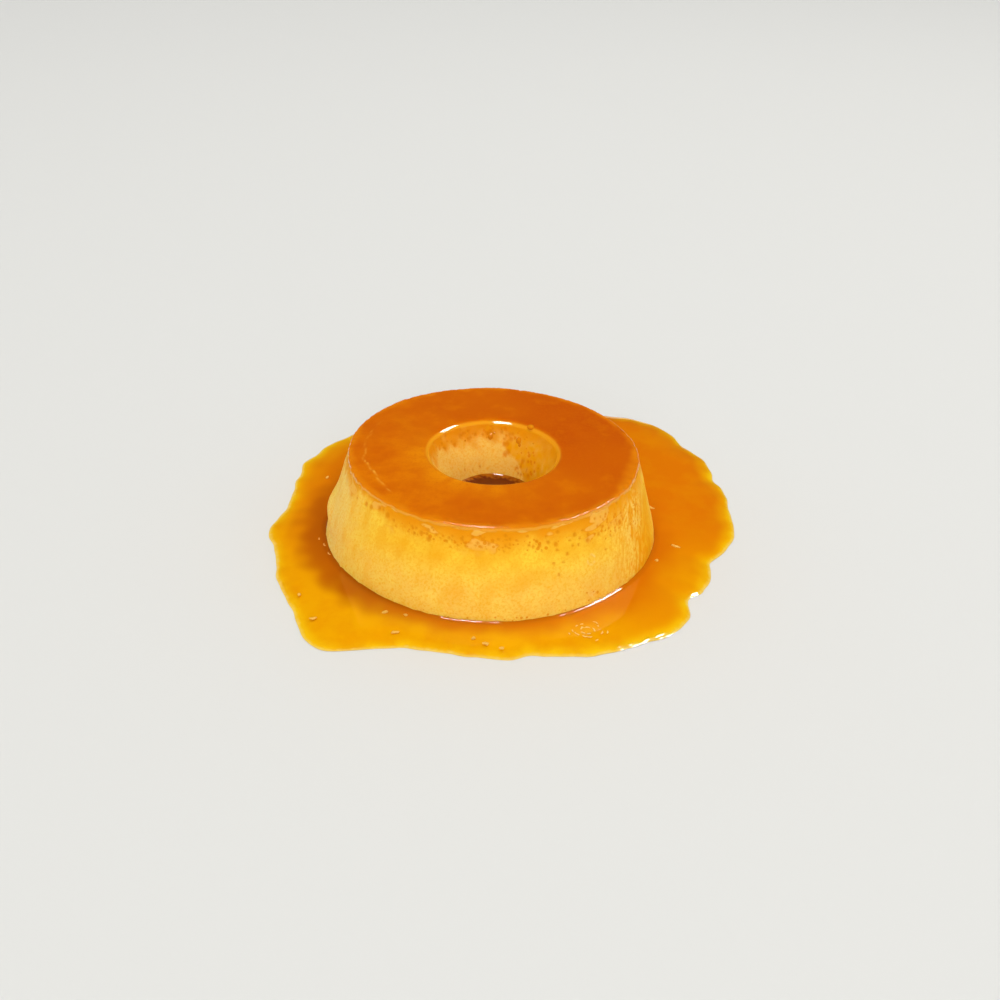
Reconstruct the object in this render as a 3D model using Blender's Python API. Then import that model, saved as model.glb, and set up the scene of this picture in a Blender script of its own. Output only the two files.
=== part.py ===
"""A ring flan turned out of its mould: baked custard under a layer of caramel, standing in its own sauce.

Run it with blender --background --python part.py, or from Blender's text editor. Metres, +Z up.
The origin is the centre of the ring's foot, on the surface that the flan stands on.
The front is -Y, so left is -X and the back is +Y.
"""

import math

import bmesh
import bpy

MM = 0.001

# Driving dimensions of the whole ring
HEIGHT = 33.1 * MM
FOOT_RADIUS = 59.4 * MM
TOP_RADIUS = 50.7 * MM
BELLY = 0.6 * MM  # how far the side swells past a straight cone, at half height
HOLE_FOOT_RADIUS = 10.0 * MM
HOLE_TOP_RADIUS = 23.0 * MM
LIP_RADIUS = 24.6 * MM  # where the flat top starts to roll over into the hole
FOOT_HEIGHT = 1.1 * MM  # the rounded foot ends here, and the side begins
# The rounded foot under the side: (how far in from the side's foot radius, height)
FOOT_ROUNDING = ((0.9 * MM, 0.0), (0.35 * MM, 0.3 * MM))

# The caramel layer on top, the sauce in the hole and the sauce around the foot
CARAMEL_THICKNESS = 1.1 * MM
RIM_ROUNDING = 0.9 * MM
WELL_LEVEL = 14.0 * MM
WELL_CLIMB = 0.5 * MM  # how far the sauce in the hole climbs at its edge
# The curve of that edge: (distance in from the edge, share of the climb)
WELL_EDGE = ((1.0 * MM, 0.3), (2.6 * MM, 0.0))
PUDDLE_DEPTH = 2.0 * MM
PUDDLE_TILT = 0.3 * MM  # the sauce is this much deeper on one side, and shallower on the other
PUDDLE_DEEP_SIDE = 20.0  # degrees
FOOT_CLIMB = 0.8 * MM  # how far the sauce climbs the custard at its foot

# Meshes that touch keep a small gap
GAP = 0.3 * MM
WALL_GAP = 0.36 * MM  # the same gap measured along the radius, where a wall slants
FOOT_GAP = 0.65 * MM  # and under the rounded foot, which slants most

RING_STEPS = 80
PUDDLE_STEPS = 144

# The sauce's outline: a round puddle, and the lobes in which it has run further out
PUDDLE_RADIUS = 75 * MM
# (direction in degrees from +X, how far past PUDDLE_RADIUS, half width in degrees)
PUDDLE_LOBES = (
    (0, 11 * MM, 12),
    (23, 16 * MM, 18),
    (55, 36 * MM, 24),
    (96, 13 * MM, 24),
    (134, 16 * MM, 25),
    (186, 4 * MM, 9),
    (211, 6 * MM, 14),
    (233, 16 * MM, 12),
    (273, 1 * MM, 8),
    (298, 5 * MM, 11),
    (318, 10 * MM, 13),
    (341, 6 * MM, 7),
)

# Faint unevenness as sine waves round the ring: (waves a turn, height of the wave, phase in radians)
SIDE_WAVES = ((3, 0.22 * MM, 0.8), (5, 0.14 * MM, 2.1), (9, 0.10 * MM, 0.0))
HOLE_WAVES = ((2, 0.18 * MM, 1.0), (5, 0.10 * MM, 0.0))
TOP_WAVES = ((1, 0.18 * MM, 1.22), (4, 0.10 * MM, 1.3))

# Where the soft custard has slumped: (degrees, height, outward push, half width in degrees, half height)
SLUMPS = (
    (183, 8.5 * MM, 1.3 * MM, 16, 6.0 * MM),
    (352, 7.0 * MM, 0.7 * MM, 14, 5.0 * MM),
    (262, 6.0 * MM, 0.4 * MM, 30, 7.0 * MM),
    (95, 7.5 * MM, 0.9 * MM, 24, 6.5 * MM),
)


def side_radius(height):
    """Radius of the outer side: a mould's taper with a slight belly."""
    share = height / HEIGHT
    return FOOT_RADIUS + (TOP_RADIUS - FOOT_RADIUS) * share + BELLY * math.sin(math.pi * share)


def hole_radius(height):
    """Radius of the hole, which the mould's cone leaves narrow at the foot and wide at the top."""
    return HOLE_FOOT_RADIUS + (HOLE_TOP_RADIUS - HOLE_FOOT_RADIUS) * height / HEIGHT


def foot_wall(height):
    """Radius of the custard from the surface it stands on up to the side, with the rounded foot."""
    (inwards_low, low), (inwards_high, high) = FOOT_ROUNDING
    if height <= low:
        return side_radius(0) - inwards_low
    if height <= high:
        return side_radius(0) - inwards_high
    return side_radius(height)


def waves(table, angle):
    """The sum of a table of sine waves at an angle."""
    return sum(size * math.sin(count * angle + phase) for count, size, phase in table)


def turn_between(degrees_a, degrees_b):
    """The shorter way from one direction to another, in degrees."""
    return (degrees_a - degrees_b + 180.0) % 360.0 - 180.0


def side_push(angle, height):
    """How far the outer side leaves its turned form: a faint unevenness all round, and the slumps."""
    push = waves(SIDE_WAVES, angle)
    for degrees, level, out, half_width, half_height in SLUMPS:
        across = turn_between(math.degrees(angle), degrees) / half_width
        along = (height - level) / half_height
        push += out * math.exp(-(across**2) - along**2)
    return push


def hole_push(angle):
    """The unevenness of the hole's wall, the same from top to bottom."""
    return waves(HOLE_WAVES, angle)


def top_swell(angle, radius):
    """The caramel's top isn't flat: it swells and sinks slowly, and is lowest at the left."""
    return waves(TOP_WAVES, angle) * radius / TOP_RADIUS


def push_points(mesh, move):
    """Moves every point of the mesh, where move takes and gives (angle, radius, height)."""
    for vertex in mesh.verts:
        x, y, height = vertex.co
        radius = math.hypot(x, y)
        angle = math.atan2(y, x)
        angle, radius, height = move(angle, radius, height)
        vertex.co = (radius * math.cos(angle), radius * math.sin(angle), height)


def turned(profile, steps, closed):
    """A mesh turned about Z from (radius, height) points, joined last to first where it is closed."""
    mesh = bmesh.new()
    points = [mesh.verts.new((radius, 0.0, height)) for radius, height in profile]
    pairs = list(zip(points, points[1:]))
    if closed:
        pairs.append((points[-1], points[0]))
    edges = [mesh.edges.new(pair) for pair in pairs]
    bmesh.ops.spin(
        mesh,
        geom=points + edges,
        cent=(0, 0, 0),
        axis=(0, 0, 1),
        angle=2 * math.pi,
        steps=steps,
        use_merge=True,
    )
    bmesh.ops.remove_doubles(mesh, verts=mesh.verts, dist=0.001 * MM)
    bmesh.ops.recalc_face_normals(mesh, faces=mesh.faces)
    return mesh


def food_material(name, colour, roughness):
    """A moist food surface of one colour, given as linear red, green and blue."""
    material = bpy.data.materials.new(name)
    material.use_nodes = True
    shader = material.node_tree.nodes["Principled BSDF"]
    shader.inputs["Base Color"].default_value = (*colour, 1.0)
    shader.inputs["Roughness"].default_value = roughness
    shader.inputs["Metallic"].default_value = 0.0
    material.diffuse_color = (*colour, 1.0)
    return material


def add_node(name, mesh, material):
    """Turns a finished bmesh into a named object, shaded smooth with its sharp corners kept."""
    data = bpy.data.meshes.new(name)
    mesh.to_mesh(data)
    mesh.free()
    data.shade_smooth()
    data.set_sharp_from_angle(angle=math.radians(50))
    data.materials.append(material)
    node = bpy.data.objects.new(name, data)
    bpy.context.scene.collection.objects.link(node)


def build_custard():
    """The custard: a tapered ring with a rounded foot, its flat top hidden under the caramel."""
    top = HEIGHT - CARAMEL_THICKNESS - GAP
    side_rows = 10
    profile = [(foot_wall(height), height) for inwards, height in FOOT_ROUNDING]
    for row in range(side_rows + 1):
        height = FOOT_HEIGHT + (top - FOOT_HEIGHT) * row / side_rows
        profile.append((side_radius(height), height))
    profile.append(((side_radius(top) + hole_radius(top)) / 2, top))
    wall_rows = 6
    for row in range(wall_rows + 1):
        height = top * (1 - row / wall_rows)
        profile.append((hole_radius(height), height))
    mesh = turned(profile, RING_STEPS, closed=True)

    def slump(angle, radius, height):
        middle = (side_radius(height) + hole_radius(height)) / 2
        push = side_push(angle, height) if radius > middle + MM else hole_push(angle)
        on_top = abs(height - top) < 0.01 * MM and abs(radius - middle) < MM
        return angle, radius + (0.0 if on_top else push), height

    push_points(mesh, slump)
    add_node("custard_ring", mesh, food_material("baked custard", (0.86, 0.50, 0.06), 0.42))


def build_caramel_top():
    """The caramel layer on the ring's top, with a rounded rim and a soft roll into the hole."""
    base = HEIGHT - CARAMEL_THICKNESS
    rim = side_radius(base)
    lip = hole_radius(base)
    rim_rows = 3
    lip_rows = 4
    top_rows = 4
    profile = [(rim, base)]
    for row in range(1, rim_rows + 1):
        turn = math.pi / 2 * row / rim_rows
        profile.append(
            (rim - RIM_ROUNDING * (1 - math.cos(turn)), base + CARAMEL_THICKNESS * math.sin(turn))
        )
    flat_from = rim - RIM_ROUNDING
    for row in range(1, top_rows):
        profile.append((flat_from + (LIP_RADIUS - flat_from) * row / top_rows, HEIGHT))
    for row in range(lip_rows + 1):
        turn = math.pi / 2 * (1 - row / lip_rows)
        profile.append(
            (LIP_RADIUS - (LIP_RADIUS - lip) * math.cos(turn), base + CARAMEL_THICKNESS * math.sin(turn))
        )
    mesh = turned(profile, RING_STEPS, closed=True)
    middle = (rim + lip) / 2

    def settle(angle, radius, height):
        push = side_push(angle, height) if radius > middle else hole_push(angle)
        edge = abs(radius - middle) / (rim - middle)
        share = (height - base) / CARAMEL_THICKNESS
        return angle, radius + push * min(1.0, edge) ** 4, height + top_swell(angle, radius) * share

    push_points(mesh, settle)
    add_node("caramel_top", mesh, food_material("caramel layer", (0.62, 0.13, 0.004), 0.16))


def build_well():
    """The deep sauce that has run into the hole and fills it to WELL_LEVEL."""
    profile = [(0.0, 0.0)]
    for height in (0.0, WELL_LEVEL / 2, WELL_LEVEL + WELL_CLIMB):
        profile.append((hole_radius(height) - WALL_GAP, height))
    edge = hole_radius(WELL_LEVEL) - WALL_GAP
    profile += [(edge - inwards, WELL_LEVEL + share * WELL_CLIMB) for inwards, share in WELL_EDGE]
    profile.append((0.0, WELL_LEVEL))
    mesh = turned(profile, RING_STEPS, closed=False)

    def fit_wall(angle, radius, height):
        share = min(1.0, radius / HOLE_FOOT_RADIUS)
        return angle, radius + hole_push(angle) * share, height

    push_points(mesh, fit_wall)
    add_node("caramel_well", mesh, food_material("deep caramel", (0.16, 0.018, 0.002), 0.08))


def puddle_reach(angle):
    """How far the sauce has run in a direction."""
    reach = PUDDLE_RADIUS
    for degrees, out, half_width in PUDDLE_LOBES:
        across = turn_between(math.degrees(angle), degrees) / half_width
        reach += out * math.exp(-(across**2))
    return reach


def build_puddle():
    """The sauce around the foot: flat under, climbing a little at the custard, with a rounded edge."""
    # Rows of the surface: share of the way from the foot to the outline, and share of the depth
    rows = ((0.05, 1.0), (0.3, 1.0), (0.62, 0.94), (0.84, 0.82), (0.94, 0.62), (0.985, 0.3))
    # Rows of the wall that faces the custard, up to the top of the climb
    wall_heights = [PUDDLE_DEPTH + FOOT_CLIMB, FOOT_HEIGHT]
    wall_heights += [height for inwards, height in reversed(FOOT_ROUNDING)]
    # The ring is turned with its outline one metre from its wall, so that the distance is the share
    profile = [(1.0 + share, depth * PUDDLE_DEPTH) for share, depth in reversed(rows)]
    profile += [(1.0, height) for height in wall_heights]
    profile.append((2.0, 0.0))
    mesh = turned(profile, PUDDLE_STEPS, closed=True)

    def spread(angle, radius, height):
        share = radius - 1.0
        gap = WALL_GAP if height >= FOOT_HEIGHT else FOOT_GAP
        wall = foot_wall(height) + gap + side_push(angle, max(height, FOOT_HEIGHT))
        foot = side_radius(0) + WALL_GAP + side_push(angle, FOOT_HEIGHT)
        tilt = PUDDLE_TILT * math.cos(angle - math.radians(PUDDLE_DEEP_SIDE))
        if share < 0.001:
            low_wall = height <= FOOT_HEIGHT
            return angle, wall, height if low_wall else height + tilt
        return angle, foot + share * (puddle_reach(angle) - foot), height * (1 + tilt / PUDDLE_DEPTH)

    push_points(mesh, spread)
    add_node("caramel_pool", mesh, food_material("caramel sauce", (0.76, 0.24, 0.004), 0.10))


def build():
    for leftover in list(bpy.data.objects):
        bpy.data.objects.remove(leftover)
    build_custard()
    build_caramel_top()
    build_well()
    build_puddle()


build()
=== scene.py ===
"""Looks of a ring flan: baked custard under a film of caramel, with caramel in its hole and round its foot.

Metres, +Z up. The front is -Y, so left is -X and the back is +Y. Angles are in degrees from +X.
"""

import math

import bpy
import numpy as np
from mathutils import Matrix, Vector


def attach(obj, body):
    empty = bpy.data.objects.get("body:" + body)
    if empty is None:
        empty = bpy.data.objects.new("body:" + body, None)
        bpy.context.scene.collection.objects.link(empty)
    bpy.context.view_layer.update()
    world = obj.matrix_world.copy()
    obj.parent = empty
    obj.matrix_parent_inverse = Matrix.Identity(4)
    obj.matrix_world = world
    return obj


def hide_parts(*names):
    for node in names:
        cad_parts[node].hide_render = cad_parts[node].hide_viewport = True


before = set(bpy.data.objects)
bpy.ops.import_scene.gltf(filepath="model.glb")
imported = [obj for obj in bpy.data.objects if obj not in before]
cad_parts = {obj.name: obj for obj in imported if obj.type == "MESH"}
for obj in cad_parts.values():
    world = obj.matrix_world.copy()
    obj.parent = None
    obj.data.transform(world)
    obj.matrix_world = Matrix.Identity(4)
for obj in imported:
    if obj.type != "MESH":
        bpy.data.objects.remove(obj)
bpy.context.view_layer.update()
MM = 0.001

# The camera looks along +Y, half from above, at the photograph's viewing angle. Its place and
# lens make the ellipses of the rim, the hole and the foot fall where the photograph has them.
CAMERA_EYE = Vector((3.1, -377.7, 237.8)) * MM
CAMERA_DOWN = 30.78  # degrees below level
CAMERA_ROLL = 2.39  # degrees
camera_data = bpy.data.cameras.new("camera")
camera_data.lens = 43.9
camera_data.sensor_width = 36.0
camera_data.clip_start = 10 * MM
camera = bpy.data.objects.new("camera", camera_data)
bpy.context.scene.collection.objects.link(camera)
camera.matrix_world = (
    Matrix.Translation(CAMERA_EYE)
    @ Matrix.Rotation(math.radians(90 - CAMERA_DOWN), 4, "X")
    @ Matrix.Rotation(math.radians(CAMERA_ROLL), 4, "Z")
)
bpy.context.scene.camera = camera


# The custard: eggs, milk and sugar baked in a ring mould and turned out upside down.
# It is one soft, closed-grained piece. The mould gave it a smooth side, and the steam of
# baking left small pits under the caramel, which has soaked into the custard below the rim.
HEIGHT = 33.1 * MM
FOOT_RADIUS = 59.4 * MM
TOP_RADIUS = 50.7 * MM
BELLY = 0.6 * MM
HOLE_FOOT_RADIUS = 10.0 * MM
HOLE_TOP_RADIUS = 23.0 * MM
CUSTARD_TOP = 32.05 * MM
# Faint waves round the ring: (how many, size, phase in radians)
SIDE_WAVES = ((3, 0.22 * MM, 0.8), (5, 0.14 * MM, 2.1), (9, 0.10 * MM, 0.0))
HOLE_WAVES = ((2, 0.18 * MM, 1.0), (5, 0.10 * MM, 0.0))
# Where it has slumped: (degrees, height, outward push, half width in degrees, half height)
SLUMPS = (
    (182, 9.6 * MM, 2.0 * MM, 11, 4.6 * MM),
    (195, 1.0 * MM, 1.0 * MM, 16, 3.0 * MM),
    (352, 7.0 * MM, 0.7 * MM, 14, 5.0 * MM),
    (262, 6.0 * MM, 0.4 * MM, 30, 7.0 * MM),
    (95, 7.5 * MM, 0.9 * MM, 24, 6.5 * MM),
)
# Large pits: (degrees, height, spread in degrees, spread in height, how many, radius)
PIT_GROUPS = (
    (224, 29.0 * MM, 3.6, 0.45 * MM, 6, 0.80 * MM),
    (234, 27.6 * MM, 4, 0.8 * MM, 5, 0.50 * MM),
    (244, 28.6 * MM, 4, 1.2 * MM, 12, 0.75 * MM),
    (252, 27.2 * MM, 5, 0.9 * MM, 12, 0.48 * MM),
    (262, 28.2 * MM, 6, 0.9 * MM, 18, 0.52 * MM),
    (270, 26.6 * MM, 7, 0.7 * MM, 14, 0.44 * MM),
    (279, 28.6 * MM, 5, 1.2 * MM, 14, 0.52 * MM),
    (289, 27.6 * MM, 5, 1.5 * MM, 12, 0.66 * MM),
    (299, 26.2 * MM, 5, 2.2 * MM, 13, 0.66 * MM),
    (311, 26.6 * MM, 5, 2.0 * MM, 13, 0.58 * MM),
    (320, 25.0 * MM, 5, 2.6 * MM, 13, 0.50 * MM),
    (332, 23.0 * MM, 5, 3.0 * MM, 8, 0.46 * MM),
    (296, 19.5 * MM, 1.5, 2.0 * MM, 4, 0.60 * MM),
    (20, 27.5 * MM, 10, 2.0 * MM, 20, 0.60 * MM),
    (58, 28.4 * MM, 9, 1.6 * MM, 22, 0.56 * MM),
    (104, 28.0 * MM, 12, 1.6 * MM, 28, 0.58 * MM),
    (146, 28.8 * MM, 8, 1.3 * MM, 16, 0.62 * MM),
    (186, 28.6 * MM, 8, 1.4 * MM, 8, 0.60 * MM),
)
# The same in the wall of the hole
WALL_PIT_GROUPS = (
    (106, 29.6 * MM, 20, 1.2 * MM, 20, 0.80 * MM),
    (119, 28.4 * MM, 4, 1.4 * MM, 5, 0.85 * MM),
    (74, 26.6 * MM, 5, 1.8 * MM, 12, 0.85 * MM),
    (54, 19.5 * MM, 8, 2.2 * MM, 10, 0.70 * MM),
    (150, 29.6 * MM, 10, 1.5 * MM, 9, 0.80 * MM),
    (104, 17.5 * MM, 14, 0.8 * MM, 3, 0.60 * MM),
    (250, 27.5 * MM, 45, 2.2 * MM, 18, 0.70 * MM),
)
# Where fine pits crowd: (degrees, height, half width in degrees, half height, how crowded up to 1)
CROWDED = (
    (247, 28.4 * MM, 9, 2.0 * MM, 0.95),
    (268, 27.8 * MM, 14, 2.2 * MM, 1.00),
    (291, 27.0 * MM, 10, 3.2 * MM, 0.90),
    (318, 25.5 * MM, 11, 4.6 * MM, 0.90),
    (336, 23.0 * MM, 9, 6.0 * MM, 0.60),
    (274, 3.0 * MM, 28, 1.5 * MM, 0.70),
    (307, 5.6 * MM, 6, 2.6 * MM, 0.85),
    (308, 17.3 * MM, 1.7, 1.5 * MM, 0.85),
    (15, 26.5 * MM, 14, 3.4 * MM, 0.90),
    (58, 27.5 * MM, 22, 2.6 * MM, 0.85),
    (112, 27.2 * MM, 26, 2.4 * MM, 0.95),
    (158, 28.0 * MM, 18, 2.0 * MM, 0.80),
    (205, 28.6 * MM, 8, 1.2 * MM, 0.50),
)
WALL_CROWDED = (
    (95, 29.0 * MM, 44, 2.0 * MM, 1.00),
    (38, 22.0 * MM, 24, 6.0 * MM, 0.90),
    (152, 27.5 * MM, 16, 2.4 * MM, 0.85),
    (250, 27.0 * MM, 60, 3.0 * MM, 0.85),
)
CROWD_REACH = 0.47  # a fine pit's largest radius, as a share of the space between two pits
PIT_DEPTH = 0.19 * MM
PIT_SIZES = (0.7, 1.3)  # the smallest and the largest in a group, as shares of its radius
PIT_SPACE = 0.9  # the least space between two pits' middles, as a share of their radii added


def side_radius(height):
    """Radius of the outer side: the mould's taper with a slight belly."""
    share = height / HEIGHT
    return FOOT_RADIUS + (TOP_RADIUS - FOOT_RADIUS) * share + BELLY * np.sin(math.pi * share)


def hole_radius(height):
    """Radius of the hole, narrow at the foot and wide at the top."""
    return HOLE_FOOT_RADIUS + (HOLE_TOP_RADIUS - HOLE_FOOT_RADIUS) * height / HEIGHT


def waves(table, angle):
    """The sum of sine waves round the ring at an angle in radians."""
    return sum(size * np.sin(count * angle + phase) for count, size, phase in table)


def turn_between(degrees_a, degrees_b):
    """The shorter way from one direction to another, in degrees."""
    return (degrees_a - degrees_b + 180.0) % 360.0 - 180.0


def bump(across):
    """A soft bell: 1 at 0, and next to nothing beyond 2."""
    return np.exp(-(across**2))


def towards(degrees, bearing, half_width):
    """A soft bell round the ring: 1 in one direction, next to nothing beyond twice half_width."""
    return bump(turn_between(degrees, bearing) / half_width)


def step(low, high, value):
    """Rises smoothly from 0 at low to 1 at high."""
    share = np.clip((value - low) / (high - low), 0.0, 1.0)
    return share * share * (3 - 2 * share)


def ripple(points, size, seed):
    """A smooth random field between about -1 and 1, whose humps are about size apart."""
    draw = np.random.default_rng(seed)
    field = np.zeros(len(points))
    count = 14
    for _ in range(count):
        direction = draw.normal(size=3)
        direction /= np.linalg.norm(direction)
        pitch = size * draw.uniform(0.7, 1.8)
        field += np.sin(2 * math.pi * points @ direction / pitch + draw.uniform(0, 2 * math.pi))
    return field / math.sqrt(count)


def select_only(piece):
    bpy.ops.object.select_all(action="DESELECT")
    piece.select_set(True)
    bpy.context.view_layer.objects.active = piece


def turned(name, profile, steps, closed):
    """A piece whose section is drawn point by point as (radius, height), and then spun round Z."""
    bpy.ops.object.select_all(action="DESELECT")
    bpy.ops.mesh.primitive_plane_add(size=MM, location=(0, 0, 0))
    piece = bpy.context.active_object
    piece.name = piece.data.name = name
    bpy.ops.object.mode_set(mode="EDIT")
    bpy.ops.mesh.merge(type="CENTER")
    radius, height = profile[0]
    bpy.ops.transform.translate(value=(radius, 0, height))
    points = list(profile[1:]) + ([profile[0]] if closed else [])
    for next_radius, next_height in points:
        move = {"value": (next_radius - radius, 0, next_height - height)}
        bpy.ops.mesh.extrude_region_move(TRANSFORM_OT_translate=move)
        radius, height = next_radius, next_height
    bpy.ops.mesh.select_all(action="SELECT")
    bpy.ops.mesh.spin(steps=steps, angle=2 * math.pi, center=(0, 0, 0), axis=(0, 0, 1))
    bpy.ops.mesh.select_all(action="SELECT")
    bpy.ops.mesh.remove_doubles(threshold=0.002 * MM)
    bpy.ops.mesh.normals_make_consistent(inside=False)
    bpy.ops.object.mode_set(mode="OBJECT")
    return piece


def smoothed(piece, levels):
    """Rounds and refines the piece, and applies that to its mesh."""
    select_only(piece)
    surface = piece.modifiers.new("rounding", "SUBSURF")
    surface.levels = surface.render_levels = levels
    bpy.ops.object.modifier_apply(modifier=surface.name)
    bpy.ops.object.shade_smooth()


def points_of(piece):
    """The piece's points as an array of (x, y, z)."""
    points = np.empty(len(piece.data.vertices) * 3)
    piece.data.vertices.foreach_get("co", points)
    return points.reshape(-1, 3)


def set_points(piece, points):
    piece.data.vertices.foreach_set("co", points.ravel())
    piece.data.update()


def mark(piece, name, values):
    """Keeps a number from 0 to 1 at each point, for the material to read."""
    layer = piece.data.attributes.new(name, "FLOAT", "POINT")
    layer.data.foreach_set("value", np.clip(values, 0.0, 1.0).astype(np.float32))


def polar(points):
    """Angle in radians, angle in degrees, radius and height of each point."""
    angle = np.arctan2(points[:, 1], points[:, 0])
    return angle, np.degrees(angle) % 360.0, np.hypot(points[:, 0], points[:, 1]), points[:, 2]


def side_push(angle, height):
    """How far the side leaves its turned form: faint waves, and the slumps."""
    push = waves(SIDE_WAVES, angle)
    for bearing, level, out, half_width, half_height in SLUMPS:
        across = towards(np.degrees(angle), bearing, half_width)
        push = push + out * across * bump((height - level) / half_height)
    return push


def pits(groups, degrees, height, radius, seed):
    """How deep into a pit each point is, from 0 to 1, for groups of pits strewn over a wall."""
    draw = np.random.default_rng(seed)
    depth = np.zeros(len(degrees))
    metres_a_degree = math.radians(1) * (radius.max() + radius.min()) / 2
    taken = []
    for middle, level, spread, rise, count, size in groups:
        for _ in range(count):
            pit_degrees = draw.normal(middle, spread)
            pit_height = draw.normal(level, rise)
            pit_size = size * draw.uniform(*PIT_SIZES)
            # Pits press on each other but seldom merge, so one that falls on another is left out
            if any(
                math.hypot((pit_degrees - other) * metres_a_degree, pit_height - its_height)
                < PIT_SPACE * (pit_size + its_size)
                for other, its_height, its_size in taken
            ):
                continue
            taken.append((pit_degrees, pit_height, pit_size))
            across = np.radians(turn_between(degrees, pit_degrees)) * radius
            away = np.hypot(across, height - pit_height) / pit_size
            depth = np.maximum(depth, 1.0 - step(0.45, 1.25, away))
    return depth


def crowding(zones, degrees, height):
    """How crowded with fine pits each point of a wall is, from 0 to 1."""
    amount = np.zeros(len(degrees))
    for middle, level, half_width, half_height, most in zones:
        away = np.hypot(turn_between(degrees, middle) / half_width, (height - level) / half_height)
        amount = np.maximum(amount, most * (1 - step(0.5, 1.5, away)))
    return amount


def push_out(points, angle, push):
    """Moves each point away from the axis."""
    around = np.column_stack((np.cos(angle), np.sin(angle), np.zeros(len(points))))
    points += around * push[:, None]


# How far the corners of the section stand back, so that they come out rounded
FOOT_INSET = 0.4 * MM
TOP_INSET = 0.3 * MM
HOLE_FOOT_INSET = 0.5 * MM
SIDE_ROWS = (1.6, 5.5, 10.0, 14.5, 19.0, 23.5, 27.5, 30.6, 31.8)  # heights in millimetres
HOLE_ROWS = (31.8, 30.6, 25.0, 19.0, 12.5)
RING_STEPS = 84
custard_profile = [(FOOT_RADIUS - FOOT_INSET, 0.0)]
custard_profile += [(float(side_radius(row * MM)), row * MM) for row in SIDE_ROWS]
custard_profile += [(float(side_radius(CUSTARD_TOP)) - TOP_INSET, CUSTARD_TOP)]
custard_profile += [(float(hole_radius(CUSTARD_TOP)) + TOP_INSET, CUSTARD_TOP)]
custard_profile += [(float(hole_radius(row * MM)), row * MM) for row in HOLE_ROWS]
custard_profile += [(HOLE_FOOT_RADIUS + HOLE_FOOT_INSET, 0.0)]
custard = turned("custard", custard_profile, steps=RING_STEPS, closed=True)
smoothed(custard, levels=3)

points = points_of(custard)
angle, degrees, radius, height = polar(points)
middle = (side_radius(height) + hole_radius(height)) / 2
on_side = radius > middle
outwards = np.where(on_side, 1.0, -1.0)
# The skin is a little uneven, in small humps on larger ones
uneven = ripple(points, 2.6 * MM, seed=3) * 0.04 * MM + ripple(points, 7 * MM, seed=4) * 0.07 * MM
side_pits = pits(PIT_GROUPS, degrees, height, radius, seed=21)
wall_pits = pits(WALL_PIT_GROUPS, degrees, height, radius, seed=22)
pit_depth = np.where(on_side, side_pits, wall_pits)
# Nothing moves in the middle of the top and of the underside
STILL_WIDTH = 12 * MM
at_wall = np.minimum(1.0, np.abs(radius - middle) / STILL_WIDTH) ** 6
push = np.where(on_side, side_push(angle, height), waves(HOLE_WAVES, angle))
push += (uneven * step(0.0, 1.5 * MM, height) - pit_depth * PIT_DEPTH) * outwards
# Folds where the slumped skirt at the left has broken away from the foot:
# (degrees, height, half width in degrees, half height, depth)
FOLDS = (
    (185, 5.0 * MM, 7, 1.0 * MM, 1.20 * MM),
    (192, 9.0 * MM, 1.4, 4.0 * MM, 0.84 * MM),
)
fold = np.zeros(len(points))
for bearing, level, half_width, half_height, depth in FOLDS:
    dent = towards(degrees, bearing, half_width) * bump((height - level) / half_height)
    fold = np.maximum(fold, depth * dent * on_side)
push -= fold
push_out(points, angle, push * at_wall)
set_points(custard, points)

# How far the caramel has soaked in below the rim, in millimetres, and where it has gone further
# or less far: (degrees, how much, half width in degrees)
SOAKED_REACH = 6.4
SOAKED_DRIPS = ((262, 3.2, 17), (316, 2.2, 16), (212, -2.8, 15), (338, -1.8, 9))
rim_depth = (CUSTARD_TOP - height) / MM
reach = SOAKED_REACH + 1.8 * ripple(points * (1, 1, 0), 11 * MM, seed=8)
reach += 1.5 * ripple(points * (1, 1, 0.25), 4.5 * MM, seed=9)
for bearing, further, half_width in SOAKED_DRIPS:
    reach += further * towards(degrees, bearing, half_width)
soaked = 1.0 - step(0.0, 1.25, rim_depth / np.maximum(reach, 0.8))
# In the hole's wall the caramel has also run down one side, with a slanting border: where the
# border stands at half the hole's height, and how far it turns for each millimetre further up
BORDER_DEGREES = 48
BORDER_SLANT = 2.7
border = BORDER_DEGREES + (height / MM - 16) * BORDER_SLANT + 7 * ripple(points, 6 * MM, seed=12)
from_right = turn_between(degrees, 0)
run_down = (1 - step(-3, 3, from_right - border)) * step(-75, -50, from_right)
wall_soaked = 0.1 + 0.9 * (1.0 - step(0.0, 9.5, rim_depth + ripple(points, 5 * MM, seed=13) * 2.2))
mark(custard, "soaked", np.where(on_side, soaked, wall_soaked))
run_down *= (0.6 + 0.4 * step(2.0, 9.0, rim_depth)) * (0.9 + 0.2 * ripple(points, 2.2 * MM, seed=14))
mark(custard, "run_down", np.where(on_side, 0.0, run_down))
wall_top = np.where(on_side, 0.0, 0.5 * bump(rim_depth / 3.2))
mark(custard, "pit", np.maximum(pit_depth * 0.8, wall_top))
crowd = np.where(on_side, crowding(CROWDED, degrees, height), crowding(WALL_CROWDED, degrees, height))
mark(custard, "crowd", crowd * (0.85 + 0.3 * ripple(points, 5 * MM, seed=16)) * CROWD_REACH)
mark(custard, "under_rim", step(0.05, 0.6, soaked) * on_side)
# Lower down the caramel has only tinted the skin, in faint trails that run down
trail = step(0.1, 1.2, ripple(points * (1, 1, 0.35), 5.0 * MM, seed=18)) * 0.35
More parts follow.
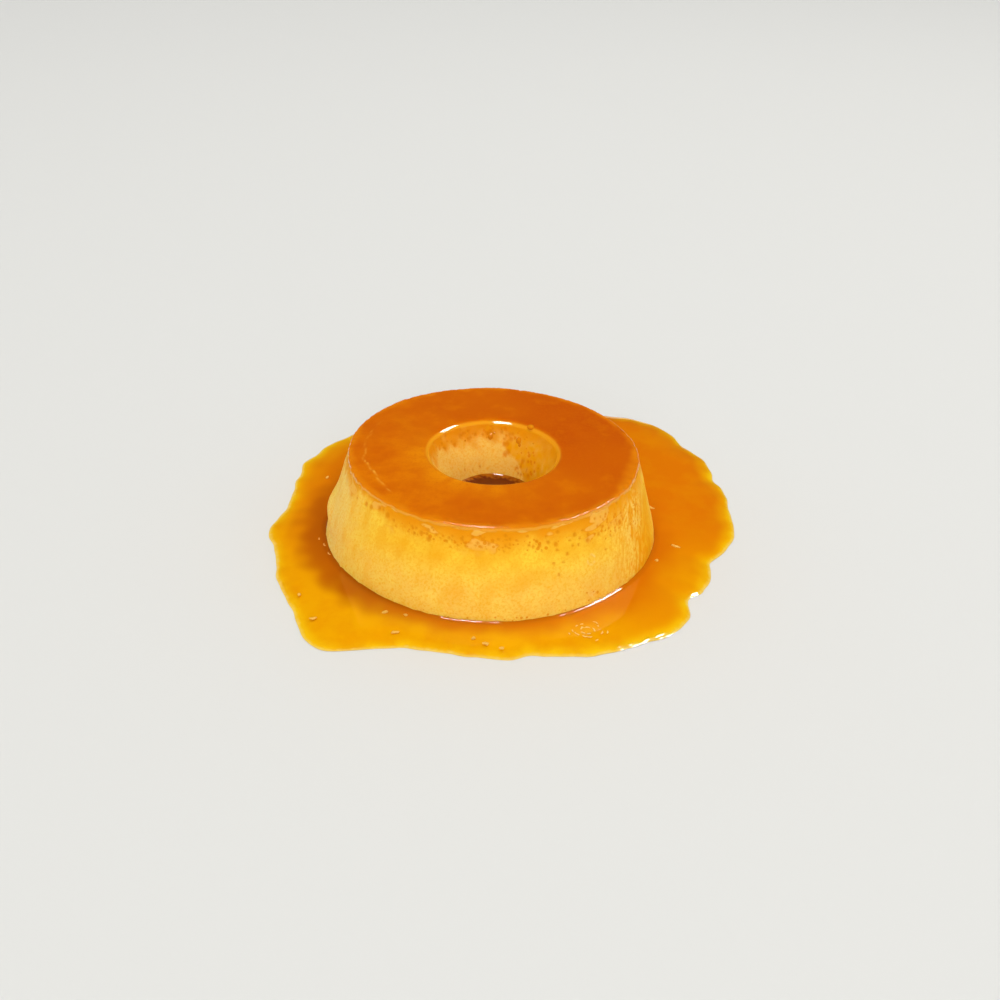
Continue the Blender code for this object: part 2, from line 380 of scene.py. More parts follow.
# One broad trail runs down at the right, where the caramel lay against the mould
TRAIL_DEGREES = 352  # at a height of 24 mm
TRAIL_SLANT = 0.6  # degrees for each millimetre
trail_middle = TRAIL_DEGREES - (24 - height / MM) * TRAIL_SLANT
broad_trail = 1.1 * towards(degrees, trail_middle, 8.5) * (1 - step(21.0, 27.0, height / MM))
mark(custard, "trail", np.maximum(trail, 0.8 * broad_trail) * on_side)
# At the right the skin has dried and dragged on the mould, in ropy upright streaks
mark(custard, "dragged", (towards(degrees, 337, 17) + 0.4 * towards(degrees, 70, 15)) * on_side)
# The skin is paler at the left and behind, in one patch by the foot, at the dragged right, and
# low down, but not where the broad trail ends
paleness = towards(degrees, 196, 20) * 0.90 + towards(degrees, 120, 40) * 0.35
paleness = np.maximum(paleness, towards(degrees, 307, 2.6) * bump((height - 5.6 * MM) / (1.9 * MM)))
paleness = np.maximum(paleness, 0.6 * towards(degrees, 335, 14))
# (how much, the height where it begins to fade, the height where it is gone)
for amount, fading, gone in ((0.55, 0.8 * MM, 3.6 * MM), (0.42, 9.0 * MM, 24.0 * MM)):
    paleness = np.maximum(paleness, amount * (1 - step(fading, gone, height)))
paleness *= 1 - 0.85 * towards(degrees, 345, 15) * (1 - step(14 * MM, 21 * MM, height))
# Where a bubble has burst on the skin it has left a pale broken ring
BUBBLE_DEGREES = 308
BUBBLE_HEIGHT = 17.3 * MM
BUBBLE_RADIUS = 1.6 * MM
BUBBLE_LINE = 0.35 * MM  # half the width of the ring's line
bubble_across = np.radians(turn_between(degrees, BUBBLE_DEGREES)) * radius
bubble_away = np.hypot(bubble_across, height - BUBBLE_HEIGHT)
bubble_ring = bump((bubble_away - BUBBLE_RADIUS) / BUBBLE_LINE)
bubble_ring *= step(-0.6, 0.2, ripple(points, 1.1 * MM, seed=19))
paleness = np.maximum(paleness, bubble_ring)
WALL_PALENESS = 0.7
mark(custard, "pale", np.where(on_side, paleness, WALL_PALENESS))


def linear(code):
    """A colour written as sRGB hex, turned to linear red, green, blue and alpha."""
    parts = [int(code[i : i + 2], 16) / 255 for i in (1, 3, 5)]
    return (*[p / 12.92 if p <= 0.04045 else ((p + 0.055) / 1.055) ** 2.4 for p in parts], 1.0)


def new_material(name):
    """An empty material with a Principled shader, given back with its node tree and shader."""
    material = bpy.data.materials.new(name)
    material.use_nodes = True
    return material, material.node_tree, material.node_tree.nodes["Principled BSDF"]


def add(tree, kind, sockets=None, **properties):
    """Adds a node, sets its properties, and gives each socket a value or another node's output."""
    node = tree.nodes.new(kind)
    for name, value in properties.items():
        setattr(node, name, value)
    for socket, value in (sockets or {}).items():
        if isinstance(value, bpy.types.NodeSocket):
            tree.links.new(value, node.inputs[socket])
        else:
            node.inputs[socket].default_value = value
    return node


# Baked custard: close, moist and slightly see-through, so that light spreads a few millimetres
# under the skin and softens every shadow. The caramel soaks in from above as an orange stain,
# gathers in the pits, and leaves paler pools between them.
custard_skin, tree, shader = new_material("baked custard")
place = add(tree, "ShaderNodeTexCoord").outputs["Object"]
names = ("soaked", "run_down", "pit", "crowd", "under_rim", "trail", "dragged", "pale")
at = {name: add(tree, "ShaderNodeAttribute", attribute_name=name).outputs["Fac"] for name in names}
MOTTLE_SIZE = 7 * MM
GRAIN_SIZE = 0.8 * MM
PIT_SPACING = 1.7 * MM
DRAG_WIDTH = 2.3 * MM
DRAG_STRETCH = 0.30  # a streak is about 1 / DRAG_STRETCH times as long as it is wide
DRAG_LEAN = 20.0  # degrees off upright
POOL_SIZE = 8 * MM
POOL_FLATTENING = 2.4  # how many times as wide as it is high a pool is
SKIN_RELIEF = 0.12 * MM
mottle = add(tree, "ShaderNodeTexNoise", {"Vector": place, "Scale": 1 / MOTTLE_SIZE, "Detail": 4.0})
mottled = add(
    tree,
    "ShaderNodeMapRange",
    {"Value": mottle.outputs["Fac"], "From Min": 0.35, "From Max": 0.65},
)
grain = add(
    tree,
    "ShaderNodeTexNoise",
    {"Vector": place, "Scale": 1 / GRAIN_SIZE, "Detail": 3.0, "Roughness": 0.65},
)
grained = add(
    tree,
    "ShaderNodeMapRange",
    {"Value": grain.outputs["Fac"], "From Min": 0.45, "From Max": 0.68, "To Max": 0.75},
)
cells = add(tree, "ShaderNodeTexVoronoi", {"Vector": place, "Scale": 1 / PIT_SPACING})
inside = add(tree, "ShaderNodeMath", {0: at["crowd"], 1: cells.outputs["Distance"]}, operation="SUBTRACT")
fine_pits = add(
    tree,
    "ShaderNodeMapRange",
    {"Value": inside.outputs[0], "From Min": 0.0, "From Max": 0.10, "To Max": 0.8},
)
leaned = add(tree, "ShaderNodeMapping", {"Vector": place, "Rotation": (math.radians(DRAG_LEAN), 0, 0)})
upright = add(tree, "ShaderNodeMapping", {"Vector": leaned.outputs[0], "Scale": (1, 1, DRAG_STRETCH)})
drag = add(
    tree,
    "ShaderNodeTexNoise",
    {"Vector": upright.outputs[0], "Scale": 1 / DRAG_WIDTH, "Detail": 3.5, "Distortion": 2.2},
)
drag_lines = add(
    tree,
    "ShaderNodeMapRange",
    {"Value": drag.outputs["Fac"], "From Min": 0.46, "From Max": 0.58},
)
dragged = add(tree, "ShaderNodeMath", {0: drag_lines.outputs[0], 1: at["dragged"]}, operation="MULTIPLY")
lying = add(tree, "ShaderNodeMapping", {"Vector": place, "Scale": (1, 1, POOL_FLATTENING)})
pool = add(tree, "ShaderNodeTexNoise", {"Vector": lying.outputs[0], "Scale": 1 / POOL_SIZE, "Detail": 1.0})
pool_share = add(
    tree,
    "ShaderNodeMapRange",
    {"Value": pool.outputs["Fac"], "From Min": 0.55, "From Max": 0.60, "To Max": 0.6},
)
pools = add(tree, "ShaderNodeMath", {0: pool_share.outputs[0], 1: at["under_rim"]}, operation="MULTIPLY")
ring_share = add(
    tree,
    "ShaderNodeMapRange",
    {"Value": pool.outputs["Fac"], "From Min": 0.515, "From Max": 0.55, "To Max": 0.6},
)
rings = add(tree, "ShaderNodeMath", {0: ring_share.outputs[0], 1: at["under_rim"]}, operation="MULTIPLY")
colour = linear("#FDD03C")
for share, over in (
    (mottled.outputs[0], "#F8BC2A"),
    (at["pale"], "#FBD270"),
    (grained.outputs[0], "#F4AC1A"),
    (at["trail"], "#F2A40E"),
    (at["soaked"], "#EC940A"),
    (at["run_down"], "#EFA402"),
    (rings.outputs[0], "#E98E04"),
    (pools.outputs[0], "#F8C256"),
    (dragged.outputs[0], "#EF9A02"),
    (fine_pits.outputs[0], "#E68A06"),
    (at["pit"], "#E08606"),
):
    colour = add(tree, "ShaderNodeMix", {0: share, 6: colour, 7: linear(over)}, data_type="RGBA").outputs[2]
tree.links.new(colour, shader.inputs["Base Color"])
shader.inputs["Roughness"].default_value = 0.62
shader.inputs["IOR"].default_value = 1.42
shader.inputs["Specular IOR Level"].default_value = 0.03
shader.inputs["Subsurface Weight"].default_value = 0.3
shader.inputs["Subsurface Radius"].default_value = (1.0, 0.45, 0.12)
shader.inputs["Subsurface Scale"].default_value = 2.0 * MM
sunk = add(
    tree,
    "ShaderNodeMath",
    {0: fine_pits.outputs[0], 1: -1.2, 2: grain.outputs["Fac"]},
    operation="MULTIPLY_ADD",
)
ridged = add(
    tree,
    "ShaderNodeMath",
    {0: dragged.outputs[0], 1: -0.8, 2: sunk.outputs[0]},
    operation="MULTIPLY_ADD",
)
relief = add(
    tree,
    "ShaderNodeBump",
    {"Height": ridged.outputs[0], "Strength": 0.5, "Distance": SKIN_RELIEF},
)
tree.links.new(relief.outputs["Normal"], shader.inputs["Normal"])
custard.data.materials.append(custard_skin)
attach(custard, "root")
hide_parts("custard_ring")


# The caramel on top: sugar cooked to amber in the mould, softened by the custard's moisture.
# It is a wet film about a millimetre thick. At the rim and in the hole it rounds over the edge
# and thins away down the custard, which it clings to.
CARAMEL_THICKNESS = 1.1 * MM
LIP_RADIUS = 24.6 * MM
SKIRT = 0.8 * MM  # how far it has run down past its own thickness
TOP_WAVES = ((1, 0.18 * MM, 1.22), (4, 0.10 * MM, 1.3))
base = HEIGHT - CARAMEL_THICKNESS
skirt_foot = base - SKIRT
rim = float(side_radius(base))
lip = float(hole_radius(base))
# The section goes from the skirt's foot up over the rim, across the top, over the lip and down
# into the hole, and back underneath, just inside the custard
film_profile = [
    (float(side_radius(skirt_foot)) - 0.16 * MM, skirt_foot),
    (float(side_radius(base - 0.4 * MM)) + 0.02 * MM, base - 0.4 * MM),
    (rim + 0.05 * MM, base),
    (rim + 0.02 * MM, base + 0.6 * MM),
    (rim - 0.22 * MM, HEIGHT - 0.10 * MM),
    (rim - 0.9 * MM, HEIGHT),
    (rim - 3.0 * MM, HEIGHT),
    (43 * MM, HEIGHT),
    (35.5 * MM, HEIGHT),
    (29.0 * MM, HEIGHT),
    (LIP_RADIUS + 0.9 * MM, HEIGHT),
    (LIP_RADIUS - 0.4 * MM, HEIGHT - 0.12 * MM),
    (lip + 0.75 * MM, HEIGHT - 0.68 * MM),
    (lip + 0.02 * MM, base - 0.35 * MM),
    (float(hole_radius(skirt_foot)) + 0.14 * MM, skirt_foot),
    (lip + 1.6 * MM, base - 0.35 * MM),
    (rim - 1.6 * MM, base - 0.35 * MM),
]
film = turned("caramel_film", film_profile, steps=RING_STEPS, closed=True)
smoothed(film, levels=3)

points = points_of(film)
angle, degrees, radius, height = polar(points)
share = np.clip((height - base) / CARAMEL_THICKNESS, 0.0, 1.0)
middle = (rim + lip) / 2
edge = np.minimum(1.0, np.abs(radius - middle) / ((rim - lip) / 2)) ** 4
push = np.where(radius > middle, side_push(angle, height), waves(HOLE_WAVES, angle)) * edge
# The top lies nearly level, and grows uneven towards the rim, where it stands in a beaded edge
TOP_SWELL = 0.05 * MM
EDGE_SWELL = 0.05 * MM
EDGE_BEADS = 0.06 * MM
EDGE_WANDER = 0.07 * MM
lift = waves(TOP_WAVES, angle) * radius / TOP_RADIUS * share
lift += ripple(points, 16 * MM, seed=31) * TOP_SWELL * share
at_rim = step(-3.0 * MM, -0.3 * MM, radius - rim)
lift += ripple(points, 2.4 * MM, seed=32) * EDGE_SWELL * share * at_rim
beaded = bump((radius - rim + 0.4 * MM) / (0.8 * MM))
lift += ripple(points, 1.5 * MM, seed=30) * EDGE_BEADS * share * beaded
push += ripple(points, 1.7 * MM, seed=40) * EDGE_WANDER * share * beaded
# The skirt's lower border is ragged: where it is pushed in, it ends higher
SKIRT_RAG = 0.09 * MM
at_skirt = 1 - step(base + 0.3 * MM, base + 0.9 * MM, height)
rag = ripple(points * (1, 1, 0.3), 3.0 * MM, seed=33) * SKIRT_RAG
push += rag * (at_rim + at_skirt * (radius > middle))
# A skin has formed at the left and wrinkled into one thin curved crease
CREASE_RADIUS = 45.3 * MM
CREASE_WIDTH = 0.30 * MM
CREASE_HEIGHT = 0.18 * MM
crease_radius = CREASE_RADIUS - 1.2 * MM * towards(degrees, 207, 8)
crease_radius += 0.35 * MM * ripple(points * (1, 1, 0), 7 * MM, seed=37)
crease_span = step(152, 166, degrees) * (1 - step(219, 225, degrees))
crease_span *= 0.35 + 0.65 * step(190, 200, degrees)
crease = bump((radius - crease_radius) / CREASE_WIDTH) * crease_span * (share > 0.5)
crease *= np.clip(0.65 + 0.6 * ripple(points, 6 * MM, seed=38), 0.1, 1.0)
lift += crease * CREASE_HEIGHT
push_out(points, angle, push)
points[:, 2] += lift
set_points(film, points)

# Where the film is thin: in a band along the rim, on the skirt, and round the lip with faint
# spokes. It is deepest, and so brownest, at the right and behind. It is palest at the left and
# front left, partly because it is thinner there and partly as a painted soft reflection.
RIM_BAND = 3.2 * MM
rim_band = RIM_BAND + 2.0 * MM * towards(degrees, 345, 18)
from_rim = radius - rim + ripple(points, 7 * MM, seed=34) * 0.7 * MM
mark(film, "thin_rim", 0.9 * step(-rim_band, -0.1 * MM, from_rim))
mark(film, "skirt", at_skirt)
halo = bump((radius - LIP_RADIUS) / (6.0 * MM)) * towards(degrees, 225, 55)
halo = np.maximum(halo, 0.45 * bump((radius - LIP_RADIUS) / (8.0 * MM)) * towards(degrees, 265, 40))
halo = np.maximum(halo, bump((radius - lip) / (1.3 * MM)) * 0.8)
spokes = np.column_stack((np.cos(angle), np.sin(angle), radius * 8))
halo *= 0.8 + 0.28 * ripple(spokes, 0.16, seed=35)
mark(film, "thin_lip", halo)
# Browner at the right and behind, paler at the left and front left: partly the film's depth, partly a
# painted soft reflection on the left
deep = 0.5 + 0.42 * np.cos(np.radians(turn_between(degrees, 30))) + 0.14 * ripple(points, 22 * MM, seed=36)
deep -= 0.3 * towards(degrees, 242, 22) * step(34 * MM, 44 * MM, radius)
mark(film, "deep", deep)
mark(film, "crease", crease)

# Amber caramel over custard: a clear, wet gloss, with the colour of cooked sugar. Where the
# film thins, at the rim and the lip, the custard's yellow comes through in grains.
film_amber, tree, shader = new_material("soft caramel film")
place = add(tree, "ShaderNodeTexCoord").outputs["Object"]
names = ("thin_rim", "thin_lip", "skirt", "deep", "crease")
at = {name: add(tree, "ShaderNodeAttribute", attribute_name=name).outputs["Fac"] for name in names}
CLOUD_SIZE = 9 * MM
FLECK_SIZE = 1.1 * MM
cloud = add(
    tree,
    "ShaderNodeTexNoise",
    {"Vector": place, "Scale": 1 / CLOUD_SIZE, "Detail": 4.0, "Roughness": 0.6},
)
clouded = add(
    tree,
    "ShaderNodeMapRange",
    {"Value": cloud.outputs["Fac"], "From Min": 0.42, "From Max": 0.68, "To Max": 0.8},
)
paler = add(
    tree,
    "ShaderNodeMapRange",
    {"Value": cloud.outputs["Fac"], "From Min": 0.46, "From Max": 0.30, "To Max": 0.35},
)
fleck = add(
    tree,
    "ShaderNodeTexNoise",
    {"Vector": place, "Scale": 1 / FLECK_SIZE, "Detail": 3.0, "Roughness": 0.7},
)
flecked = add(
    tree,
    "ShaderNodeMapRange",
    {"Value": fleck.outputs["Fac"], "From Min": 0.50, "From Max": 0.66, "To Max": 0.45},
)
colour = linear("#D97200")
for share, over in (
    (at["deep"], "#C25000"),
    (clouded.outputs[0], "#C85A00"),
    (paler.outputs[0], "#DC7A00"),
    (at["thin_lip"], "#E68A04"),
    (flecked.outputs[0], "#CC6200"),
    (at["thin_rim"], "#DE7E06"),
    (at["skirt"], "#EC9C18"),
    (at["crease"], "#F0A830"),
):
    colour = add(tree, "ShaderNodeMix", {0: share, 6: colour, 7: linear(over)}, data_type="RGBA").outputs[2]
tree.links.new(colour, shader.inputs["Base Color"])
shader.inputs["Roughness"].default_value = 0.07
shader.inputs["IOR"].default_value = 1.45
shader.inputs["Specular IOR Level"].default_value = 0.42
shader.inputs["Subsurface Weight"].default_value = 0.08
shader.inputs["Subsurface Radius"].default_value = (1.0, 0.3, 0.05)
shader.inputs["Subsurface Scale"].default_value = 1.5 * MM
film.data.materials.append(film_amber)
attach(film, "root")
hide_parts("caramel_top")


# The caramel in the hole: liquid that ran down from the top and stands there, deep enough to
# look dark brown. It wets the custard, reaches a little into its skin and climbs it at the edge.
WELL_LEVEL = 14.0 * MM
WELL_CLIMB = 1.2 * MM
WELL_CURVE = 0.92 * MM  # how far in from the wall the climb fades
WETTED = 0.2 * MM  # how far liquid reaches into the custard's skin
well_edge = float(hole_radius(WELL_LEVEL)) + WETTED
well_profile = [(0.0, 0.0), (HOLE_FOOT_RADIUS - 1.0 * MM, 0.0), (HOLE_FOOT_RADIUS + WETTED, 0.4 * MM)]
well_profile += [(float(hole_radius(h)) + WETTED, h) for h in (WELL_LEVEL / 2, WELL_LEVEL - 0.5 * MM)]
# The rows on top stand close together at the wall, where the surface curves
well_profile += [(well_edge - inwards * MM, WELL_LEVEL) for inwards in (0.0, 0.5, 1.1, 1.9, 3.2, 5.0)]
well_profile += [(6 * MM, WELL_LEVEL), (0.0, WELL_LEVEL)]
well = turned("caramel_well", well_profile, steps=48, closed=False)
smoothed(well, levels=3)
points = points_of(well)
angle, degrees, radius, height = polar(points)
in_from_wall = well_edge - radius
on_top = step(WELL_LEVEL - 0.6 * MM, WELL_LEVEL - 0.1 * MM, height)
# It climbs least at the back left, where the wall is dry
climb = WELL_CLIMB * (1 - 0.7 * towards(degrees, 138, 24))
points[:, 2] += climb * np.exp(-np.maximum(in_from_wall, 0) / WELL_CURVE) * on_top
push = waves(HOLE_WAVES, angle) * np.minimum(1.0, radius / HOLE_FOOT_RADIUS)
push_out(points, angle, push)
set_points(well, points)
# It looks thin in a ragged line along the wall
ragged = ripple(points, 1.6 * MM, seed=39) * 0.5 * MM
mark(well, "thin_edge", (1 - step(0.1 * MM, 2.4 * MM, in_from_wall + ragged)) * (height > 10 * MM))

# Deep liquid caramel: mirror-smooth, dark brown in the depth and amber where it thins at the wall.
well_brown, tree, shader = new_material("deep liquid caramel")
place = add(tree, "ShaderNodeTexCoord").outputs["Object"]
thin_at = add(tree, "ShaderNodeAttribute", attribute_name="thin_edge").outputs["Fac"]
SWIRL_SIZE = 4 * MM
swirl = add(tree, "ShaderNodeTexNoise", {"Vector": place, "Scale": 1 / SWIRL_SIZE, "Detail": 3.0})
colour = linear("#541400")
for share, over in ((swirl.outputs["Fac"], "#6E2200"), (thin_at, "#B4660C")):
    colour = add(tree, "ShaderNodeMix", {0: share, 6: colour, 7: linear(over)}, data_type="RGBA").outputs[2]
tree.links.new(colour, shader.inputs["Base Color"])
shader.inputs["Roughness"].default_value = 0.05
shader.inputs["IOR"].default_value = 1.47
shader.inputs["Specular IOR Level"].default_value = 0.4
well.data.materials.append(well_brown)
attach(well, "root")
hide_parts("caramel_well")


# The sauce round the foot: caramel thinned by the custard's juice, run out into a flat puddle.
# It climbs the custard at the foot, and its outline is held by its own skin in a rounded bead.
PUDDLE_DEPTH = 2.0 * MM
PUDDLE_TILT = 0.3 * MM  # how much deeper it is at the deep side, and shallower opposite
PUDDLE_DEEP_SIDE = 20.0  # degrees
FOOT_CLIMB = 0.8 * MM
FOOT_CURVE = 0.27 * MM  # how far out from the custard the climb fades
BROAD_CURVE = 0.26 * MM  # how much further it reaches at the front right
EDGE_WIDTH = 13.5 * MM  # how wide the thinning border of the puddle is
PUDDLE_RADIUS = 75 * MM
# (direction in degrees, how far past PUDDLE_RADIUS, half width in degrees)
PUDDLE_LOBES = (
    (0, 11 * MM, 12),
    (23, 16 * MM, 18),
    (55, 36 * MM, 24),
    (96, 13 * MM, 24),
    (134, 16 * MM, 25),
    (186, 4 * MM, 9),
    (211, 6 * MM, 14),
    (233, 16 * MM, 12),
    (273, 1 * MM, 8),
    (298, 5 * MM, 11),
    (318, 10 * MM, 13),
    (341, 6 * MM, 7),
)
# Small scallops and nicks in the outline, in the same form
PUDDLE_NICKS = (
    (9, 1.2 * MM, 4),
    (17, 1.6 * MM, 4),
    (26, -1.4 * MM, 2.2),
    (35, 1.4 * MM, 3),
    (42.5, -1.8 * MM, 2.6),
    (63, -1.0 * MM, 4),
    (70, 1.0 * MM, 4),
    (81, -0.9 * MM, 3),
    (91, 0.8 * MM, 3.4),
    (103, -1.0 * MM, 4),
    (116, 0.9 * MM, 3.6),
    (134, -1.4 * MM, 7),
    (144, -0.6 * MM, 3),
    (150.5, 1.6 * MM, 2.6),
    (160, 0.6 * MM, 3),
    (184, 0.9 * MM, 5),
    (227, -1.2 * MM, 5),
    (238, 0.6 * MM, 3),
    (276, 0.7 * MM, 3),
    (282, -0.8 * MM, 2.4),
    (324, 0.6 * MM, 3),
    (330, -0.8 * MM, 2.6),
    (334, 1.8 * MM, 2.2),
    (338, 0.8 * MM, 2.6),
    (343, -1.0 * MM, 3),
    (348, -1.2 * MM, 2.2),
)


def puddle_reach(angle):
    """How far the sauce has run in a direction."""
    reach = PUDDLE_RADIUS
    for direction, out, half_width in PUDDLE_LOBES + PUDDLE_NICKS:
        reach = reach + out * towards(np.degrees(angle), direction, half_width)
    return reach + 0.16 * MM * np.sin(37 * angle) + 0.10 * MM * np.sin(61 * angle + 1.7)


# The section is drawn one metre from the axis, so that the distance from there is a share of the
# way from the foot to the outline, and the height is a share of the depth
row_shares = (0.0, 0.012, 0.035, 0.09, 0.2, 0.4, 0.62, 0.8, 0.91, 0.965, 0.99)
puddle_profile = [(1.0, 0.0), (1.0, 0.5 * PUDDLE_DEPTH)]
puddle_profile += [(1.0 + share, PUDDLE_DEPTH) for share in row_shares] + [(2.0, 0.0)]
sauce = turned("caramel_sauce", puddle_profile, steps=96, closed=True)
smoothed(sauce, levels=3)

points = points_of(sauce)
angle, degrees, radius, height = polar(points)
share = np.clip(radius - 1.0, 0.0, 1.0)
ends = puddle_reach(angle)
width = ends - side_radius(PUDDLE_DEPTH) - side_push(angle, PUDDLE_DEPTH)
# Behind the ring the border is gentler still, so that it mirrors no lamp as a broad patch
border_width = EDGE_WIDTH * (1 + 0.55 * towards(degrees, 114, 44))
thinning = 1 - np.minimum(width * (1 - share) / border_width, 1.0)
tilt = PUDDLE_TILT * np.cos(angle - math.radians(PUDDLE_DEEP_SIDE))
fade = FOOT_CURVE + BROAD_CURVE * towards(degrees, 312, 13)
fade *= 1 + 0.3 * ripple(points * (1, 1, 0) / radius[:, None] * FOOT_RADIUS, 4 * MM, seed=44)
depth = (PUDDLE_DEPTH + tilt) * (1 - thinning**2) + FOOT_CLIMB * np.exp(-width * share / fade)
height = height / PUDDLE_DEPTH * depth
wall = side_radius(height) - WETTED + side_push(angle, height)
flat_radius = wall + share * (ends - wall)
points = np.column_stack((flat_radius * np.cos(angle), flat_radius * np.sin(angle), height))
points[:, 2] += ripple(points, 14 * MM, seed=41) * 0.03 * MM * (height > 0.5 * MM)
# The outline at the front right has caught on the ground and puckered
PUCKER_HEIGHT = 0.05 * MM
puckered = bump((ends - flat_radius) / (2.5 * MM)) * towards(degrees, 318, 36) * (height > 0.1 * MM)
points[:, 2] += np.abs(ripple(points, 2.3 * MM, seed=45)) * PUCKER_HEIGHT * puckered
set_points(sauce, points)

# How thick and how brown the sauce looks: deepest at the foot, and all over at the left and back.
# The darkening by the foot and at the left is partly deeper sauce and partly painted shade from the
# custard.
from_edge = (ends - flat_radius) / MM
from_foot = (flat_radius - wall) / MM
wander = ripple(points, 9 * MM, seed=42)
at_left = towards(degrees, 180, 54)
at_back_left = towards(degrees, 140, 34)
at_right = step(0.1, 0.95, np.cos(np.radians(turn_between(degrees, 40))))
mark(sauce, "thick", step(0.0, 5.5 - 1.5 * at_left - 2.5 * at_right, from_edge + 0.7 * wander))
at_front_right = towards(degrees, 320, 30)
# Darker near the foot and over the back left: partly deeper sauce, partly painted shade from the custard
near = 1.0 - step(0.5, 8.0 + 8.0 * at_left + 9.0 * at_front_right, from_foot + 1.2 * wander)
near = np.maximum(near, at_back_left * (1 - step(0.45, 0.98, share + 0.05 * wander)))
mark(sauce, "foot_depth_and_shade", 0.9 * near)
at_front_left = towards(degrees, 222, 22)
# Browner at the left and front left near the foot, and in a thin band against the foot: partly deeper
# sauce, partly painted shade where the custard shades it
brown_and_shade = np.maximum(at_left, 0.9 * at_front_left) * (1 - step(4.0, 14.0, from_foot + 1.2 * wander))
brown_and_shade += 0.4 * (1 - step(0.2, 2.6, from_foot))
mark(sauce, "brown_and_shade", 0.85 * brown_and_shade)
at_side = np.maximum(at_right, 0.6 * towards(degrees, 166, 42))
at_side = np.maximum(at_side, 0.6 * towards(degrees, 322, 20))
mark(sauce, "orange", at_side * step(0.8, 8.0, from_edge + wander))
mark(sauce, "fringe", 1.0 - step(0.0, 1.7, from_edge + 0.25 * ripple(points, 2 * MM, seed=43)))

# Thin liquid caramel on a pale ground: bright yellow where it is thin, orange where it is deep,
# nearly colourless at its very edge, and with a wet gloss all over. By the foot and at the left it
# is darkened partly by its depth and partly by painted shade from the custard.
sauce_amber, tree, shader = new_material("thin caramel sauce")
place = add(tree, "ShaderNodeTexCoord").outputs["Object"]
names = ("thick", "foot_depth_and_shade", "brown_and_shade", "orange", "fringe")
at = {name: add(tree, "ShaderNodeAttribute", attribute_name=name).outputs["Fac"] for name in names}
HAZE_SIZE = 13 * MM
haze = add(
    tree,
    "ShaderNodeTexNoise",
    {"Vector": place, "Scale": 1 / HAZE_SIZE, "Detail": 4.0, "Roughness": 0.6},
)
hazed = add(
    tree,
    "ShaderNodeMapRange",
    {"Value": haze.outputs["Fac"], "From Min": 0.42, "From Max": 0.68, "To Max": 0.55},
)
colour = linear("#F2BE0E")
for share, over in (
    (at["thick"], "#EAA400"),
    (at["orange"], "#DA7400"),
    (hazed.outputs[0], "#DE8600"),
    # The next two colours are partly painted shade from the custard, by its foot and at the left
    (at["foot_depth_and_shade"], "#D26E00"),
    (at["brown_and_shade"], "#AE5602"),
    (at["fringe"], "#F3CB62"),
):
    colour = add(tree, "ShaderNodeMix", {0: share, 6: colour, 7: linear(over)}, data_type="RGBA").outputs[2]
tree.links.new(colour, shader.inputs["Base Color"])
shader.inputs["Roughness"].default_value = 0.04
shader.inputs["IOR"].default_value = 1.45
shader.inputs["Specular IOR Level"].default_value = 0.4
shader.inputs["Subsurface Weight"].default_value = 0.1
shader.inputs["Subsurface Radius"].default_value = (1.0, 0.5, 0.1)
shader.inputs["Subsurface Scale"].default_value = 1.5 * MM
sauce.data.materials.append(sauce_amber)
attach(sauce, "root")
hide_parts("caramel_pool")


# Crumbs: scraps of the custard's soft skin that came off in the mould and float in the sauce.
# Each is a small flattened lump, paler than the sauce and half sunk in it.
CRUMB_WIDTH = 1.25 * MM
CRUMB_FLATNESS = 0.6  # height over width
# (x, y, length over width, direction in degrees)
CRUMBS = (
    (60.0 * MM, 16.5 * MM, 2.1, -28),
    (59.0 * MM, -19.0 * MM, 1.2, 60),
    (66.5 * MM, -9.5 * MM, 2.6, -30),
    (-32.8 * MM, -55.9 * MM, 1.8, 15),
    (-26.0 * MM, -57.0 * MM, 1.3, -10),
    (-28.5 * MM, -66.4 * MM, 2.2, 5),
    (-55.6 * MM, -61.0 * MM, 1.9, 20),
    (-62.0 * MM, -48.0 * MM, 1.0, 40),
    (0.5 * MM, -70.5 * MM, 1.5, 0),
    (-3.5 * MM, -67.5 * MM, 1.1, 70),
    (5.7 * MM, -72.4 * MM, 1.2, 15),
    (-64.0 * MM, 30.0 * MM, 1.1, 30),
    (35.0 * MM, 68.0 * MM, 1.5, 10),
    (-22.0 * MM, 74.0 * MM, 1.3, 55),
)
# Thin scraps that the foot has shed where it folded, in the same form
SCRAP_WIDTH = 0.5 * MM
SCRAP_FLATNESS = 0.8
SHED = (
    (-58.2 * MM, -17.5 * MM, 4.2, -62),
    (-55.8 * MM, -23.0 * MM, 5.0, -56),
    (-60.6 * MM, -13.5 * MM, 2.6, -78),
)
# Froth: short curved wisps of fine bubbles, swirled together where the sauce was stirred
FROTH_MIDDLE = (33.0 * MM, -61.5 * MM)
FROTH_REACH = (7.0 * MM, 5.0 * MM)
FROTH_WISPS = 26
WISP_WIDTH = 0.38 * MM
WISP_FLATNESS = 0.8
WISP_LENGTHS = (1.8, 5.0)  # the shortest and the longest, over their width
LUMP_UNEVENNESS = 0.28
LUMP_BEND = 0.12  # how far a lump's ends bend aside


def joined(pieces, name):
    """Makes one smooth piece of several."""
    bpy.ops.object.select_all(action="DESELECT")
    for piece in pieces:
        piece.select_set(True)
    bpy.context.view_layer.objects.active = pieces[0]
    bpy.ops.object.join()
    bpy.ops.object.shade_smooth()
    whole = bpy.context.active_object
    whole.name = whole.data.name = name
    return whole


